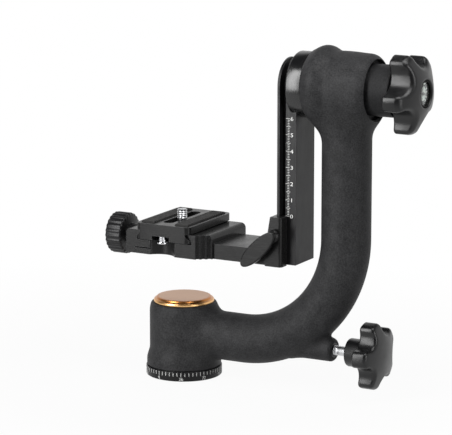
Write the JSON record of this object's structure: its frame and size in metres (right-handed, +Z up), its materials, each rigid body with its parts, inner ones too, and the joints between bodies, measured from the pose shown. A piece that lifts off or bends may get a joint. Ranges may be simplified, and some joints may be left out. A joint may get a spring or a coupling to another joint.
{
  "type": "gimbal tripod head",
  "caption": "Gimbal tripod head: a curved arm that pans on a round base and carries a swinging rail with a height-adjustable platform and quick-release plate.",
  "frame": {"origin": "on the pan axis, in the plane of the base's underside", "axes": "+Z up along the pan axis, +X towards the arm's upright and along the tilt axis, the lens points along -Y"},
  "size_m": [0.215, 0.0557, 0.2152],
  "materials": {
    "coated_casting": "rough dark coat",
    "black_anodised": "black anodised",
    "gold_anodised": "gold anodised",
    "steel": "turned",
    "brass": "turned",
    "nylon": "plain",
    "moulded_plastic": "satin",
    "rubber": "matt",
    "compass_card": "printed",
    "clear_plastic": "clear"
  },
  "bodies": {
    "base": {"base_plate": "black_anodised", "base_screw_1": "steel", "base_screw_2": "steel", "base_screw_3": "steel", "thread_bush": "steel", "reducer_bush": "brass", "pan_spindle": "steel", "pan_brake_sleeve": "steel", "pan_nut": "steel"},
    "arm": {"j_arm": "coated_casting", "pan_lock_insert": "brass", "pan_bush_lower": "brass", "pan_bush_upper": "brass", "pan_thrust_washer": "nylon", "pan_cap": "gold_anodised", "tilt_end_collar": "coated_casting", "tilt_bearing_left_outer_ring": "steel", "tilt_bearing_right_outer_ring": "steel", "tilt_bearing_left_balls": "steel", "tilt_bearing_right_balls": "steel", "tilt_thrust_washer": "nylon"},
    "pan_brake": {"pan_lock_pad": "brass"},
    "pan_knob": {"pan_lock_knob": "moulded_plastic", "pan_lock_rod": "steel"},
    "tilt": {"tilt_hub": "black_anodised", "tilt_shaft": "steel", "hub_bolt": "steel", "swing_rail": "black_anodised", "rail_screw_front": "steel", "rail_screw_rear": "steel", "tilt_bearing_left_inner_ring": "steel", "tilt_bearing_right_inner_ring": "steel", "tilt_spacer": "steel", "tilt_shaft_nut": "steel"},
    "tilt_brake": {"tilt_lock_pad": "brass"},
    "tilt_knob": {"tilt_lock_knob": "moulded_plastic", "tilt_lock_stud": "steel", "compass_case": "brass", "compass_window": "clear_plastic"},
    "compass": {"compass_card": "compass_card"},
    "carriage": {"height_carriage": "black_anodised", "platform_screw_1": "steel", "platform_screw_2": "steel", "camera_platform": "black_anodised", "jaw_guide_pin_1": "steel", "jaw_guide_pin_2": "steel"},
    "gib": {"height_gib": "brass"},
    "height_lever": {"height_lock_paddle": "black_anodised", "height_lock_screw": "steel"},
    "jaw": {"moving_jaw": "black_anodised"},
    "jaw_knob": {"clamp_knob": "black_anodised", "clamp_screw": "steel"},
    "plate": {"quick_plate": "black_anodised", "plate_pad_left": "rubber", "plate_pad_right": "rubber", "plate_stop_screw": "steel"},
    "screw_slider": {"camera_screw_washer": "nylon"},
    "camera_screw": {"camera_screw": "steel"}
  },
  "joints": [
    {"name": "pan_turn", "type": "hinge", "parent": "base", "child": "arm", "pos_m": [0, 0, 0.0069], "axis": [0, 0, 1], "continuous": true},
    {"name": "pan_lock_travel", "type": "slide", "parent": "arm", "child": "pan_brake", "axis": [1, 0, 0], "range_m": [0, 0.0015]},
    {"name": "pan_lock_turn", "type": "hinge", "parent": "pan_brake", "child": "pan_knob", "pos_m": [0.1063, 0, 0.02745], "axis": [1, 0, 0], "range_deg": [0, 540]},
    {"name": "tilt_turn", "type": "hinge", "parent": "arm", "child": "tilt", "pos_m": [0.0913, 0, 0.1905], "axis": [1, 0, 0], "continuous": true},
    {"name": "tilt_lock_travel", "type": "slide", "parent": "arm", "child": "tilt_brake", "axis": [1, 0, 0], "range_m": [0, 0.00125]},
    {"name": "tilt_lock_turn", "type": "hinge", "parent": "tilt_brake", "child": "tilt_knob", "pos_m": [0.1464, 0, 0.1905], "axis": [1, 0, 0], "range_deg": [0, 360]},
    {"name": "compass_turn", "type": "hinge", "parent": "tilt_knob", "child": "compass", "pos_m": [0.1605, 0, 0.1905], "axis": [1, 0, 0], "continuous": true},
    {"name": "height_travel", "type": "slide", "parent": "tilt", "child": "carriage", "axis": [0, 0, 1], "range_m": [0, 0.06]},
    {"name": "height_lock_travel", "type": "slide", "parent": "carriage", "child": "gib", "axis": [0, -1, 0], "range_m": [0, 0.0005]},
    {"name": "height_lock_turn", "type": "hinge", "parent": "gib", "child": "height_lever", "pos_m": [0.07475, -0.02, 0.0998], "axis": [0, -1, 0], "range_deg": [0, 120]},
    {"name": "jaw_travel", "type": "slide", "parent": "carriage", "child": "jaw", "axis": [-1, 0, 0], "range_m": [0, 0.0035]},
    {"name": "clamp_turn", "type": "hinge", "parent": "jaw", "child": "jaw_knob", "pos_m": [-0.027, 0, 0.086], "axis": [-1, 0, 0], "range_deg": [0, 1260]},
    {"name": "plate_travel", "type": "slide", "parent": "carriage", "child": "plate", "axis": [0, -1, 0], "range_m": [0, 0.03]},
    {"name": "camera_screw_travel", "type": "slide", "parent": "plate", "child": "screw_slider", "axis": [0, 1, 0], "range_m": [-0.015, 0.015]},
    {"name": "camera_screw_turn", "type": "hinge", "parent": "screw_slider", "child": "camera_screw", "pos_m": [-0.0011, 0, 0.0898], "axis": [0, 0, 1], "continuous": true}
  ],
  "couplings": [
    {"joint": "pan_lock_travel", "follows": "pan_lock_turn", "m_per_rad": 0.000159},
    {"joint": "tilt_lock_travel", "follows": "tilt_lock_turn", "m_per_rad": 0.000198},
    {"joint": "height_lock_travel", "follows": "height_lock_turn", "m_per_rad": 0.000159},
    {"joint": "jaw_travel", "follows": "clamp_turn", "m_per_rad": 0.000159}
  ]
}
